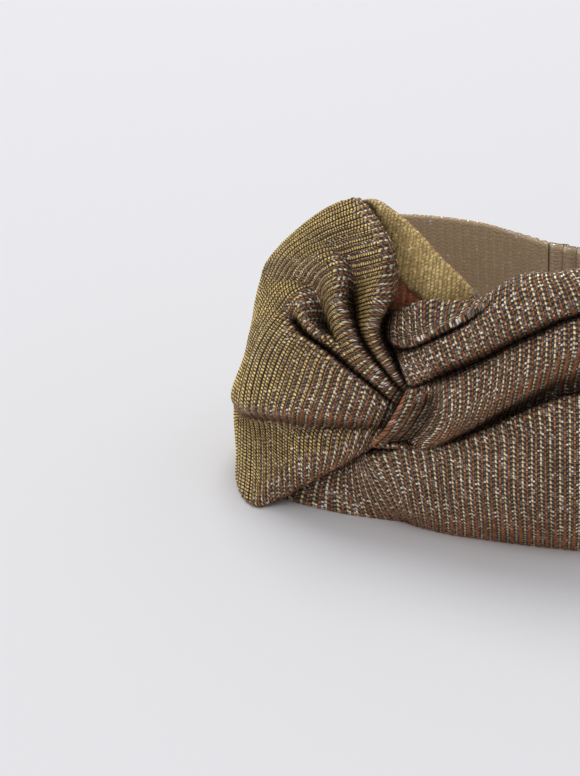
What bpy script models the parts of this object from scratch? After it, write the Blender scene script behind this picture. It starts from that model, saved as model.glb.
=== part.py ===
"""Twist-front turban headband of ribbed metallic knit, standing on its lower edge.

Two wide bands, left and right, are looped through each other at the front knot. Each band
leaves the knot as a fan of folds, runs round its side of the head in two layers, and is sewn
to the other band at the back. +Z is up, the knot faces -Y, and the origin is on the floor
under the middle of the ring.

Every place on the cloth is given in wall coordinates, in millimetres:
  along   distance round the ring from the knot, positive towards the wearer's left (+X)
  height  distance above the floor
  out     distance outwards from the ring's wall, negative towards the head
"""

import bpy
import numpy as np

MM = 0.001

# The ring as seen from above, a squared-off oval
RING_HALF_WIDTH = 97.0
RING_HALF_DEPTH = 53.0
RING_SQUARENESS = 2.4
RING_CENTRE_X = 0.5
RING_CENTRE_Y = 4.3
KNOT_X = -14.5

# Cloth
WALL = 2.2
FLOOR_TRIM = -0.8

# Back casing: where its two ends lie round the ring, and its gathers
CASING_ENDS = (206.7, 257.2)
CASING_HEIGHTS = (76.5, 80.5)
CASING_GATHERS = 9
GATHER_DEPTH = 0.8

# How far the wall leans in at LEAN_HEIGHT, by place round the ring
LEAN_HEIGHT = 110.0
LEAN = {-248: 8, -110: 22, -75: 24, -40: 18, 0: 12, 60: 10, 110: 14, 248: 8}

# Left band, outer layer: one row for each fold, from the hem up to the top edge.
# share is the place across the flat band; then (along, height, out) at five stations.
LEFT_FOLDS = (
    # name, share, knot, waist, fan, spread, side
    ("hem", 0.00, (-11.2, 30.2, 5.0), (-22.6, 21.8, 9.0), (-36.5, 11.3, 12.5), (-49.5, -0.8, 20.0), (-84.0, -0.8, 3.6)),
    ("low_belly", 0.09, (-7.6, 34.0, 5.0), (-19.5, 28.5, 10.0), (-35.8, 20.5, 13.5), (-52.5, 9.3, 17.0), (-84.0, 9.0, 4.4)),
    ("under_a", 0.17, (-5.2, 36.8, 4.9), (-18.9, 34.2, 8.0), (-39.2, 28.1, 9.5), (-59.0, 22.4, 11.5), (-84.0, 19.0, 7.0)),
    ("crease_a", 0.21, (-3.9, 38.8, 4.6), (-17.6, 37.2, 7.0), (-38.1, 32.9, 8.5), (-65.4, 26.6, 9.0), (-83.0, 24.0, 7.6)),
    ("pouch", 0.26, (-2.9, 40.6, 4.8), (-15.1, 42.5, 10.5), (-34.6, 40.6, 14.0), (-63.6, 33.0, 15.0), (-82.0, 31.0, 9.2)),
    ("mid_belly", 0.36, (-1.6, 43.6, 4.9), (-12.1, 50.8, 12.0), (-30.3, 52.8, 15.0), (-66.9, 48.8, 10.0), (-84.0, 43.0, 4.8)),
    ("lip_b", 0.46, (-0.9, 46.2, 4.8), (-10.8, 54.9, 12.0), (-31.1, 62.8, 13.0), (-54.1, 68.4, 10.0), (-86.0, 54.0, 5.0)),
    ("crease_b", 0.49, (-0.6, 47.2, 4.3), (-13.0, 53.8, 6.0), (-35.9, 63.2, 6.5), (-51.5, 72.4, 9.0), (-86.0, 59.0, 5.2)),
    ("shoulder", 0.53, (-0.2, 48.3, 4.3), (-11.3, 56.0, 8.5), (-32.0, 66.8, 9.5), (-48.5, 77.7, 9.0), (-86.0, 65.0, 5.8)),
    ("hollow", 0.58, (0.2, 49.5, 3.8), (-11.0, 58.0, 6.0), (-28.5, 69.5, 4.5), (-44.6, 83.4, 5.5), (-85.0, 72.5, 6.2)),
    ("roll_1", 0.66, (0.7, 50.8, 4.0), (-8.3, 60.4, 9.5), (-21.7, 73.0, 11.5), (-31.7, 94.1, 10.5), (-80.0, 81.5, 7.0)),
    ("crease_c", 0.74, (1.2, 52.0, 3.4), (-8.2, 61.4, 5.5), (-20.3, 73.6, 5.5), (-26.0, 94.2, 8.0), (-70.0, 90.0, 6.0)),
    ("flank_2", 0.80, (1.7, 53.0, 3.2), (-6.8, 61.8, 5.5), (-17.0, 74.6, 5.5), (-18.5, 96.5, 7.5), (-60.0, 95.5, 5.0)),
    ("roll_2", 0.88, (2.4, 54.2, 3.4), (-4.6, 63.0, 9.0), (-13.2, 75.0, 11.0), (-11.5, 99.0, 10.5), (-50.5, 104.5, 3.2)),
    ("edge_flank", 0.96, (2.9, 55.3, 3.0), (-3.9, 63.7, 7.5), (-11.3, 74.2, 8.5), (-8.0, 99.0, 8.5), (-41.0, 111.2, 2.0)),
    ("top_edge", 1.00, (3.2, 56.2, 2.4), (-3.8, 64.4, 5.0), (-11.0, 74.5, 5.0), (-7.6, 99.2, 5.5), (-35.5, 114.8, 0.6)),
)

# Left band beyond its folds: straight lines across it from the hem to the top edge, each with
# its places (along, height, out).
LEFT_OUTER_TAIL = (
    # hem, top edge
    ((-237.0, -0.8, 1.9), (-237.0, 80.5, 1.9)),
    ((-210.0, -0.8, 1.9), (-208.0, 85.5, 1.9)),
    ((-178.0, -0.8, 2.0), (-168.0, 87.0, 1.9)),
    ((-146.0, -0.8, 2.6), (-130.0, 87.0, 1.9)),
    ((-113.0, -0.8, 3.0), (-94.0, 86.5, 1.9)),
)
LEFT_NECK = (
    ((8.0, 39.0, 0.6), (9.5, 56.5, 0.2)),
    ((17.0, 37.0, -2.0), (18.5, 64.0, -2.2)),
    ((21.0, 29.0, -7.0), (24.5, 80.0, -7.5)),
    ((15.0, 18.0, -11.0), (18.0, 89.0, -11.5)),
)
LEFT_INNER_TAIL = (
    ((-8.0, 2.0, -9.5), (-5.0, 106.0, -8.0)),
    ((-38.0, -0.8, -6.0), (-27.0, 115.4, -3.5)),
    ((-76.0, -0.8, -2.5), (-64.0, 96.0, -2.2)),
    ((-128.0, -0.8, -1.9), (-112.0, 87.5, -1.9)),
    ((-172.0, -0.8, -1.9), (-164.0, 89.0, -1.9)),
    ((-210.0, -0.8, -1.9), (-208.0, 87.5, -1.9)),
    ((-237.0, -0.8, -1.9), (-237.0, 81.5, -1.9)),
)

# Right band, upper layer, from its inner hem up to the top edge. Above the slit that the left
# band passes through it goes on behind the left fan, at the stations end and dive.
RIGHT_UPPER_FOLDS = (
    # name, end, dive, knot, dimple, ridge, fan, spread, side
    ("inner_hem", None, None, (-6.5, 32.8, 8.6), (3.5, 33.0, 5.6), (13.0, 32.5, 5.6), (26.0, 28.0, 2.5), (44.0, 12.0, 1.0), (66.0, -0.8, -1.2)),
    ("behind", None, None, (-8.1, 34.2, 10.0), (1.9, 34.8, 7.2), (11.5, 36.2, 8.0), (23.0, 41.0, 6.0), (38.1, 49.5, 4.0), (57.9, 62.1, 3.2)),
    ("under", None, None, (-2.8, 40.4, 12.0), (6.6, 41.9, 10.0), (17.6, 43.1, 12.0), (27.1, 47.6, 10.5), (40.6, 58.0, 10.0), (59.3, 72.2, 9.0)),
    ("roll_2", None, None, (1.8, 49.8, 11.5), (10.8, 51.5, 10.5), (21.8, 52.4, 13.0), (31.3, 59.0, 12.5), (42.4, 67.9, 11.5), (60.4, 79.9, 10.5)),
    ("roll_2_top", None, None, (4.8, 56.0, 9.5), (12.1, 59.5, 8.5), (17.6, 61.9, 9.5), (31.0, 68.9, 9.0), (41.8, 75.7, 8.5), (59.7, 85.7, 8.0)),
    ("crease_f", None, None, (4.8, 57.4, 7.5), (10.8, 60.7, 5.5), (14.7, 62.6, 5.0), (28.1, 69.9, 5.0), (39.3, 77.0, 5.0), (57.8, 87.4, 5.0)),
    ("lip_f", (-27.0, 50.0, -1.5), (2.6, 61.2, -1.0), (4.8, 60.2, 8.5), (11.5, 63.4, 9.5), (15.9, 65.6, 9.5), (28.7, 72.7, 9.5), (39.5, 79.8, 9.0), (57.4, 89.6, 8.0)),
    ("roll_1", (-28.0, 55.0, -1.5), (-1.0, 65.4, -1.0), (0.9, 64.9, 7.0), (7.3, 67.9, 9.5), (13.3, 71.2, 10.0), (26.2, 78.3, 10.0), (37.6, 86.8, 9.5), (55.7, 94.7, 8.0)),
    ("crease_e", (-29.0, 60.0, -1.5), (-3.8, 68.6, -1.2), (-2.2, 67.9, 3.6), (3.1, 69.5, 4.5), (9.6, 73.7, 5.0), (22.3, 81.4, 6.0), (34.4, 90.5, 7.0), (52.6, 95.5, 7.0)),
    ("ridge_0", (-30.0, 65.0, -1.5), (-5.4, 72.4, -1.2), (-3.8, 72.3, 5.2), (3.6, 73.6, 9.0), (10.1, 77.6, 9.0), (21.8, 83.9, 8.5), (34.3, 93.5, 7.5), (52.7, 98.1, 6.5)),
    ("facet_0", (-31.0, 70.0, -1.5), (-8.9, 77.0, -1.4), (-7.3, 77.0, 2.0), (0.5, 80.1, 3.5), (6.1, 82.2, 4.0), (19.2, 86.7, 5.0), (34.2, 96.3, 5.5), (53.7, 101.2, 5.0)),
    ("top_line", (-31.0, 75.0, -1.5), (-10.0, 81.5, -1.4), (-7.6, 81.3, 0.6), (-1.0, 84.4, 2.6), (5.1, 86.6, 3.2), (21.4, 91.0, 3.6), (34.5, 98.4, 3.0), (54.2, 102.6, 2.2)),
    ("top_edge", (-31.0, 80.0, -1.5), (-13.0, 92.5, -1.6), (-9.0, 91.5, -1.6), (-1.5, 88.6, -1.2), (5.6, 85.8, 0.6), (21.4, 89.0, 1.0), (34.6, 96.8, 0.0), (54.2, 101.0, -1.0)),
)
SLIT_FOLD = 6
RIGHT_UPPER_TAIL = (
    ((96.0, -0.8, -1.9), (86.0, 101.5, -1.9)),
    ((132.0, -0.8, -1.9), (128.0, 96.0, -1.9)),
    ((170.0, -0.8, -1.9), (168.0, 86.0, -1.9)),
    ((205.0, -0.8, -1.9), (205.0, 77.0, -1.9)),
)

# Right band, lower layer, from the hem up to the lip that overlaps the upper layer.
RIGHT_LOWER_FOLDS = (
    # name, end, back, corner, knot, waist, fan, spread, side
    ("hem", (-50.0, -0.8, 8.5), (-24.0, -0.8, 4.3), (0.6, -0.8, -0.8), (5.6, -0.8, 0.5), (18.7, -0.8, 1.8), (32.8, -0.8, 0.6), (47.2, -0.8, 0.0), (60.8, -0.8, -0.4)),
    ("low", (-47.0, 10.0, 6.2), (-25.0, 9.0, 3.6), (-1.1, 6.1, 3.0), (5.9, 6.7, 4.5), (19.8, 7.9, 5.5), (34.0, 9.1, 6.0), (48.0, 10.5, 6.2), (61.1, 11.1, 6.0)),
    ("middle", (-39.0, 26.0, 2.0), (-25.0, 20.0, 2.0), (-6.5, 15.4, 5.0), (4.6, 17.8, 7.0), (19.3, 20.6, 8.5), (33.5, 23.6, 9.5), (47.2, 27.2, 10.0), (60.5, 30.5, 10.0)),
    ("high", (-36.0, 46.0, 0.4), (-25.0, 38.0, 0.4), (-12.3, 23.8, 5.0), (2.0, 28.5, 7.5), (17.8, 32.9, 9.0), (32.4, 39.2, 9.8), (46.2, 46.4, 10.3), (59.3, 53.3, 10.5)),
    ("lip", (-35.0, 62.0, 0.4), (-24.0, 54.0, 0.4), (-14.3, 26.9, 4.2), (0.7, 31.3, 6.5), (16.5, 35.7, 8.0), (31.2, 43.2, 9.0), (45.0, 51.5, 9.5), (58.8, 59.0, 9.5)),
)
RIGHT_LOWER_TAIL = (
    ((96.0, -0.8, 2.5), (92.0, 71.0, 6.0)),
    ((132.0, -0.8, 1.9), (130.0, 76.0, 2.8)),
    ((170.0, -0.8, 1.9), (168.0, 78.5, 1.9)),
    ((205.0, -0.8, 1.9), (205.0, 76.5, 1.9)),
)


def ring_outline(samples=4000):
    """Points of the oval and their distance round it, starting at the knot and turning towards +X."""
    turn = np.linspace(0.0, 2.0 * np.pi, samples + 1)
    power = 2.0 / RING_SQUARENESS
    x = RING_CENTRE_X + RING_HALF_WIDTH * np.sign(np.cos(turn)) * np.abs(np.cos(turn)) ** power
    y = RING_CENTRE_Y + RING_HALF_DEPTH * np.sign(np.sin(turn)) * np.abs(np.sin(turn)) ** power
    start = int(np.argmin((x - KNOT_X) ** 2 + (y - RING_CENTRE_Y + RING_HALF_DEPTH) ** 2))
    x = np.concatenate([x[start:-1], x[: start + 1]])
    y = np.concatenate([y[start:-1], y[: start + 1]])
    distance = np.concatenate([[0.0], np.cumsum(np.hypot(np.diff(x), np.diff(y)))])
    return x, y, distance


OUTLINE_X, OUTLINE_Y, OUTLINE_DISTANCE = ring_outline()
RING_LENGTH = OUTLINE_DISTANCE[-1]


def lean_in(along, height):
    """How far the wall leans towards the head at this place."""
    nearest = np.mod(along + RING_LENGTH / 2, RING_LENGTH) - RING_LENGTH / 2
    return np.interp(nearest, list(LEAN), list(LEAN.values())) * (height / LEAN_HEIGHT) ** 2


def on_outline(along):
    distance = np.mod(along, RING_LENGTH)
    return (
        np.interp(distance, OUTLINE_DISTANCE, OUTLINE_X),
        np.interp(distance, OUTLINE_DISTANCE, OUTLINE_Y),
    )


def in_space(cloth):
    """Wall coordinates (..., 3) as points in space, in metres."""
    along, height, out = cloth[..., 0], cloth[..., 1], cloth[..., 2]
    half_step = 0.5
    x, y = on_outline(along)
    before_x, before_y = on_outline(along - half_step)
    after_x, after_y = on_outline(along + half_step)
    run_x, run_y = after_x - before_x, after_y - before_y
    length = np.hypot(run_x, run_y)
    offset = out - lean_in(along, height)
    return np.stack([x + run_y / length * offset, y - run_x / length * offset, height], -1) * MM


def smooth(values, steps):
    """A smooth curve through the rows of values, with steps[i] pieces between rows i and i + 1."""
    changes = np.diff(values, axis=0)
    gaps = np.linalg.norm(changes, axis=-1, keepdims=True) + 0.01
    middle = (values[2:] - values[:-2]) / (gaps[:-1] + gaps[1:])
    slopes = np.concatenate([changes[:1] / gaps[:1], middle, changes[-1:] / gaps[-1:]])
    pieces = []
    for i, count in enumerate(steps):
        for t in np.arange(count) / count:
            pieces.append(
                (1 + 2 * t) * (1 - t) ** 2 * values[i]
                + t * (1 - t) ** 2 * gaps[i] * slopes[i]
                + t**2 * (3 - 2 * t) * values[i + 1]
                - t**2 * (1 - t) * gaps[i] * slopes[i + 1]
            )
    pieces.append(values[-1])
    return np.array(pieces)


def across(shares, hem, top):
    """One station of plain cloth: a straight line from hem to top edge, cut at each fold's share."""
    share = np.array(shares)[:, None]
    return np.array(hem) * (1.0 - share) + np.array(top) * share


def fold_stations(folds, first):
    """The folds' tables as an array (stations, folds, 3). A missing station repeats the knot's."""
    rows = []
    for fold in folds:
        known = [place for place in fold[first:] if place is not None]
        rows.append([known[0]] * (len(fold) - first - len(known)) + known)
    return np.array(rows, float).transpose(1, 0, 2)


def even_shares(folds):
    return np.linspace(0.0, 1.0, len(folds))


def cloth_grid(stations, along_steps, across_steps):
    """Stations (stations, folds, 3) smoothed both ways, as (columns, rows, 3) in wall coordinates."""
    grid = smooth(np.array(stations), along_steps)
    grid = smooth(grid.transpose(1, 0, 2), [across_steps] * (grid.shape[1] - 1))
    return grid.transpose(1, 0, 2)


def sheet_object(name, grid, keep=None):
    """A sheet of cloth as a mesh of quads. keep(column, row) says which quads exist."""
    columns, rows = grid.shape[:2]
    points = in_space(grid).reshape(-1, 3)
    quads = [
        (c * rows + r, (c + 1) * rows + r, (c + 1) * rows + r + 1, c * rows + r + 1)
        for c in range(columns - 1)
        for r in range(rows - 1)
        if keep is None or keep(c, r)
    ]
    used = sorted({corner for quad in quads for corner in quad})
    place = {corner: i for i, corner in enumerate(used)}
    mesh = bpy.data.meshes.new(name)
    mesh.from_pydata(points[used].tolist(), [], [[place[i] for i in quad] for quad in quads])
    mesh.update()
    obj = bpy.data.objects.new(name, mesh)
    bpy.context.scene.collection.objects.link(obj)
    return obj


def thicken(obj):
    wall = obj.modifiers.new("wall", "SOLIDIFY")
    wall.thickness = WALL * MM
    wall.offset = 0.0
    wall.use_rim = True


def combine(obj, other, operation):
    step = obj.modifiers.new(operation.lower(), "BOOLEAN")
    step.operation = operation
    step.solver = "EXACT"
    step.object = other
    other.hide_render = True
    other.display_type = "WIRE"


def floor_cutter():
    """A block under the floor that presses the hems flat."""
    bpy.ops.mesh.primitive_cube_add(size=1.0, location=(0.0, 0.0, -10.0 * MM))
    block = bpy.context.object
    block.name = "floor_cutter"
    block.scale = (400.0 * MM, 400.0 * MM, 20.0 * MM)
    bpy.ops.object.transform_apply(location=False, rotation=False, scale=True)
    return block


def knit(name, colour, roughness):
    material = bpy.data.materials.new(name)
    material.use_nodes = True
    shader = material.node_tree.nodes["Principled BSDF"]
    shader.inputs["Base Color"].default_value = (*colour, 1.0)
    shader.inputs["Roughness"].default_value = roughness
    shader.inputs["Metallic"].default_value = 0.4
    return material


def finish(obj, material):
    obj.data.materials.append(material)
    obj.data.shade_smooth()


def left_band(material, floor):
    """Outer layer from the back seam to the knot, the gathered neck, and the inner layer back to the seam."""
    shares = [fold[1] for fold in LEFT_FOLDS]
    stations = [across(shares, *ends) for ends in LEFT_OUTER_TAIL]
    stations += list(fold_stations(LEFT_FOLDS, 2)[::-1])
    stations += [across(shares, *ends) for ends in LEFT_NECK]
    stations += [across(shares, *ends) for ends in LEFT_INNER_TAIL]
    steps = [2, 3, 3, 3, 3, 4, 4, 4, 4, 2, 2, 2, 2, 2, 3, 3, 4, 4, 3, 2]
    band = sheet_object("left_band", cloth_grid(stations, steps, 1))
    thicken(band)
    combine(band, floor, "DIFFERENCE")
    finish(band, material)


def right_band(material, floor):
    """Upper layer with its slit for the left band, and the lower layer that it joins behind the left fan."""
    stations = list(fold_stations(RIGHT_UPPER_FOLDS, 1))
    stations += [across(even_shares(RIGHT_UPPER_FOLDS), *ends) for ends in RIGHT_UPPER_TAIL]
    steps = [3, 2, 3, 2, 3, 3, 4, 5, 4, 4, 3]
    knot_column = steps[0] + steps[1]
    upper = sheet_object(
        "right_band",
        cloth_grid(stations, steps, 1),
        keep=lambda column, row: column >= knot_column or row >= SLIT_FOLD,
    )
    thicken(upper)

    stations = list(fold_stations(RIGHT_LOWER_FOLDS, 1))
    stations += [across(even_shares(RIGHT_LOWER_FOLDS), *ends) for ends in RIGHT_LOWER_TAIL]
    lower = sheet_object("right_band_lower", cloth_grid(stations, [3, 3, 2, 3, 3, 3, 3, 4, 4, 4, 3], 2))
    thicken(lower)
    lower.data.shade_smooth()

    combine(upper, lower, "UNION")
    combine(upper, floor, "DIFFERENCE")
    finish(upper, material)


def back_elastic(material, floor):
    """The gathered casing that the four ends are sewn to."""
    start, end = CASING_ENDS
    columns = CASING_GATHERS * 4 + 1
    along = np.linspace(start, end, columns)
    gather = GATHER_DEPTH * np.sin(np.linspace(0.0, CASING_GATHERS * 2 * np.pi, columns))
    grid = np.empty((columns, 3, 3))
    grid[:, :, 0] = along[:, None]
    top = np.linspace(*CASING_HEIGHTS, columns)
    grid[:, :, 1] = np.stack([np.full(columns, FLOOR_TRIM), top / 2, top], -1)
    grid[:, :, 2] = gather[:, None]
    casing = sheet_object("back_elastic", grid)
    thicken(casing)
    casing.modifiers["wall"].thickness = 2.0 * WALL * MM
    combine(casing, floor, "DIFFERENCE")
    finish(casing, material)


def clear_scene():
    for obj in list(bpy.data.objects):
        bpy.data.objects.remove(obj)


def build():
    clear_scene()
    floor = floor_cutter()
    floor.hide_render = True
    floor.display_type = "WIRE"
    left_band(knit("gold_knit", (0.45, 0.34, 0.14), 0.5), floor)
    right_band(knit("bronze_knit", (0.30, 0.22, 0.16), 0.5), floor)
    back_elastic(knit("casing_knit", (0.33, 0.28, 0.20), 0.55), floor)


build()
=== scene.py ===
import math

import bpy
import numpy as np
from mathutils import Matrix, Vector
from mathutils.bvhtree import BVHTree


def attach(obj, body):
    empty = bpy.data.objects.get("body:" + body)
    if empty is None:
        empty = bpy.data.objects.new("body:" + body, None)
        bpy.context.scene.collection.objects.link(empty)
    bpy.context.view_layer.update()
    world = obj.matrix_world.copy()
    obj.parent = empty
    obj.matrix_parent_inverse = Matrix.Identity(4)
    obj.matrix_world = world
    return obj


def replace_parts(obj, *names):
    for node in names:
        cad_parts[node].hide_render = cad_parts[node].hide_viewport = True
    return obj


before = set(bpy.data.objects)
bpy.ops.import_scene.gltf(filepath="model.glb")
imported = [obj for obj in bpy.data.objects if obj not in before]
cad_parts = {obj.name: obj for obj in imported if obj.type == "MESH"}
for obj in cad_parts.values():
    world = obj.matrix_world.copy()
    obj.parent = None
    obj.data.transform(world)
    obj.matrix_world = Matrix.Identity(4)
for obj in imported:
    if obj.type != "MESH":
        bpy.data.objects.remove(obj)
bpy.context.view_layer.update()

mm = 0.001
print("turban: frame loaded")

# Every place on the cloth is (along, height, out) in millimetres: along the oval wall from the knot,
# positive towards the wearer's left, above the floor, and outwards from the wall.

ringShape = {
    "halfWidth": 97.0,
    "halfDepth": 53.0,
    "squareness": 2.4,
    "centre": (0.5, 4.3),
    "knotX": -14.5,
    "leanHeight": 110.0,  # the wall leans in by these amounts at this height
    "leanAlong": (-248, -110, -75, -40, 0, 60, 110, 248),
    "leanIn": (8, 22, 24, 18, 12, 10, 14, 8),
}


def ringOutline(samples=4000):
    turn = np.linspace(0.0, 2.0 * np.pi, samples + 1)
    power = 2.0 / ringShape["squareness"]
    cx, cy = ringShape["centre"]
    x = cx + ringShape["halfWidth"] * np.sign(np.cos(turn)) * np.abs(np.cos(turn)) ** power
    y = cy + ringShape["halfDepth"] * np.sign(np.sin(turn)) * np.abs(np.sin(turn)) ** power
    start = int(np.argmin((x - ringShape["knotX"]) ** 2 + (y - cy + ringShape["halfDepth"]) ** 2))
    x = np.concatenate([x[start:-1], x[: start + 1]])
    y = np.concatenate([y[start:-1], y[: start + 1]])
    return x, y, np.concatenate([[0.0], np.cumsum(np.hypot(np.diff(x), np.diff(y)))])


outlineX, outlineY, outlineRun = ringOutline()
ringLength = outlineRun[-1]


def leanAt(along, height):
    nearest = np.mod(along + ringLength / 2, ringLength) - ringLength / 2
    lean = np.interp(nearest, ringShape["leanAlong"], ringShape["leanIn"])
    return lean * (np.maximum(height, 0.0) / ringShape["leanHeight"]) ** 2


def onOutline(along):
    run = np.mod(along, ringLength)
    return np.interp(run, outlineRun, outlineX), np.interp(run, outlineRun, outlineY)


def inSpace(cloth):  # (along, height, out) to metres in the row frame
    along, height, out = cloth[..., 0], cloth[..., 1], cloth[..., 2]
    x, y = onOutline(along)
    x0, y0 = onOutline(along - 0.5)
    x1, y1 = onOutline(along + 0.5)
    runX, runY = x1 - x0, y1 - y0
    length = np.hypot(runX, runY)
    offset = out - leanAt(along, height)
    return np.stack([x + runY / length * offset, y - runX / length * offset, height], -1) * mm


# Hermite curve through the rows, with steps[i] pieces between rows i and i + 1
def smoothRows(rows, steps):
    changes = np.diff(rows, axis=0)
    gaps = np.linalg.norm(changes, axis=-1, keepdims=True) + 0.01
    middle = (rows[2:] - rows[:-2]) / (gaps[:-1] + gaps[1:])
    slopes = np.concatenate([changes[:1] / gaps[:1], middle, changes[-1:] / gaps[-1:]])
    made = []
    for i, count in enumerate(steps):
        for t in np.arange(count) / count:
            made.append(
                (1 + 2 * t) * (1 - t) ** 2 * rows[i] + t * (1 - t) ** 2 * gaps[i] * slopes[i]
                + t**2 * (3 - 2 * t) * rows[i + 1] - t**2 * (1 - t) * gaps[i] * slopes[i + 1]
            )
    made.append(rows[-1])
    return np.array(made)


# How many pieces each gap between stations needs for cells of about this size
def stepsFor(stations, cell):
    gaps = np.linalg.norm(np.diff(stations, axis=0), axis=-1)
    return [max(2, int(math.ceil(g / c))) for g, c in zip(np.quantile(gaps, 0.8, axis=1), cell)]


def clothGrid(stations, cell, acrossCell):
    stations = np.array(stations, float)
    grid = smoothRows(stations, stepsFor(stations, cell))
    across = grid.transpose(1, 0, 2)
    return smoothRows(across, stepsFor(across, [acrossCell] * (len(across) - 1))).transpose(1, 0, 2)


def foldStations(folds, first):
    rows = []
    for fold in folds:
        known = [place for place in fold[first:] if place is not None]
        rows.append([known[0]] * (len(fold) - first - len(known)) + known)
    return np.array(rows, float).transpose(1, 0, 2)


def plainStation(shares, hem, top):
    share = np.array(shares)[:, None]
    return np.array(hem) * (1.0 - share) + np.array(top) * share


def evenShares(folds):
    return np.linspace(0.0, 1.0, len(folds))


clothMake = {
    "thickness": 2.2,  # mm, the doubled knit
    "ribRepeat": 3.4,  # mm from one copper rib to the next
    "ribHeight": 0.28,
    "rimTurns": 4,  # pieces round each rounded edge
}


# Distance along an axis of the grid, zero at the index start
def runLengths(points, axis, start):
    step = np.linalg.norm(np.diff(points, axis=axis), axis=-1)
    run = np.concatenate([np.zeros_like(np.take(step, [0], axis)), np.cumsum(step, axis=axis)], axis=axis)
    return run - np.take(run, [start], axis)


# Relief of the knit's ribs, from -1 to 1, at u millimetres along the cloth
def ribRelief(u):
    phase = 2.0 * np.pi * u / clothMake["ribRepeat"]
    return 0.75 * np.cos(phase - 2.0 * np.pi * 0.63) + 0.25 * np.cos(2.0 * phase - 2.0 * np.pi * 0.3)


# A closed cloth of real thickness round the grid, with rounded rims and the knit's ribs.
# fields are values on the grid that the material reads.
def knitSheet(name, grid, material, keep=None, vStart=0, thickness=None, fields={}):
    half = (thickness or clothMake["thickness"]) / 2 * mm
    middle = inSpace(grid)
    columns, rows = middle.shape[:2]
    u = np.repeat(runLengths(middle, 0, 0).mean(1, keepdims=True), rows, 1) / mm
    v = runLengths(middle, 1, vStart) / mm
    du, dv = np.gradient(middle, axis=0), np.gradient(middle, axis=1)
    normal = np.cross(du, dv)
    normal /= np.linalg.norm(normal, axis=-1, keepdims=True) + 1e-12
    relief = (ribRelief(u) * clothMake["ribHeight"] * mm)[..., None]
    front = middle + normal * (half + relief)
    back = middle - normal * (half - relief)

    c, r = np.meshgrid(np.arange(columns - 1), np.arange(rows - 1), indexing="ij")
    c, r = c.ravel(), r.ravel()
    if keep is not None:
        kept = keep(c, r)
        c, r = c[kept], r[kept]
    at = lambda cc, rr: cc * rows + rr
    quads = np.stack([at(c, r), at(c + 1, r), at(c + 1, r + 1), at(c, r + 1)], 1)
    count = columns * rows
    edges = np.concatenate([quads[:, [i, (i + 1) % 4]] for i in range(4)])
    forward = {(int(a), int(b)) for a, b in edges}
    border = [(a, b) for a, b in forward if (b, a) not in forward]
    border.sort()

    flatMiddle, flatNormal = middle.reshape(-1, 3), normal.reshape(-1, 3)
    outward = np.zeros((count, 3))
    for a, b in border:
        away = np.cross(flatMiddle[b] - flatMiddle[a], flatNormal[a] + flatNormal[b])
        away /= np.linalg.norm(away) + 1e-12
        outward[a] += away
        outward[b] += away
    rim = sorted({p for edge in border for p in edge})
    turns = clothMake["rimTurns"]
    frontFlat, backFlat = front.reshape(-1, 3), back.reshape(-1, 3)
    points = [frontFlat, backFlat]
    uFlat, vFlat = u.ravel(), v.ravel()
    uv = [np.stack([uFlat, vFlat], 1), np.stack([uFlat, vFlat], 1)]
    place = {p: i for i, p in enumerate(rim)}
    rimIds = np.array(rim)
    way = outward[rimIds] / (np.linalg.norm(outward[rimIds], axis=1, keepdims=True) + 1e-12)
    core, across = (frontFlat[rimIds] + backFlat[rimIds]) / 2, (frontFlat[rimIds] - backFlat[rimIds]) / 2
    reach = np.linalg.norm(across, axis=1, keepdims=True)
    for k in range(1, turns):
        angle = math.pi * k / turns
        points.append(core + across * math.cos(angle) + way * reach * math.sin(angle))
        uv.append(np.stack([uFlat[rimIds], vFlat[rimIds] + half / mm * angle], 1))
    points, uv = np.concatenate(points), np.concatenate(uv)
    points[:, 2] = np.maximum(points[:, 2], 0.0)

    def layer(p, k):
        if k == 0:
            return p
        if k == turns:
            return p + count
        return 2 * count + (k - 1) * len(rim) + place[p]

    faces = [quads, quads[:, ::-1] + count]
    strips = [
        (layer(b, k), layer(a, k), layer(a, k + 1), layer(b, k + 1))
        for a, b in border
        for k in range(turns)
    ]
    faces = np.concatenate(faces + [np.array(strips)])
    used = np.unique(faces)
    renumber = np.full(len(points), -1)
    renumber[used] = np.arange(len(used))
    mesh = bpy.data.meshes.new(name)
    mesh.from_pydata(points[used].tolist(), [], renumber[faces].tolist())
    layerUv = mesh.uv_layers.new(name="knit")
    loops = np.empty(len(mesh.loops), np.int32)
    mesh.loops.foreach_get("vertex_index", loops)
    layerUv.data.foreach_set("uv", uv[used][loops].astype(np.float32).ravel())
    mesh.validate()
    mesh.update()
    mesh.shade_smooth()
    obj = bpy.data.objects.new(name, mesh)
    bpy.context.scene.collection.objects.link(obj)
    obj.data.materials.append(material)
    for field, values in fields.items():
        flat = values.ravel()
        pointField(obj, field, np.concatenate([flat, flat] + [flat[rimIds]] * (turns - 1))[used])
    return obj


# A value from 0 to 1 on each vertex, for the material to read
def pointField(obj, name, values):
    field = obj.data.attributes.get(name) or obj.data.attributes.new(name, "FLOAT", "POINT")
    field.data.foreach_set("value", np.clip(values, 0.0, 1.0).astype(np.float32))


def knownField(obj, name):
    values = np.zeros(len(obj.data.vertices), np.float32)
    field = obj.data.attributes.get(name)
    if field:
        field.data.foreach_get("value", values)
    return values


def vertexArray(obj, what="co"):
    data = np.empty(len(obj.data.vertices) * 3, np.float32)
    obj.data.vertices.foreach_get(what, data)
    return data.reshape(-1, 3).astype(float)


# Materials


def mathNode(tree, operation, a, b=None):
    node = tree.nodes.new("ShaderNodeMath")
    node.operation = operation
    for i, value in enumerate((a, b)):
        if value is None:
            continue
        if isinstance(value, (int, float)):
            node.inputs[i].default_value = value
        else:
            tree.links.new(value, node.inputs[i])
    return node.outputs[0]


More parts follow.
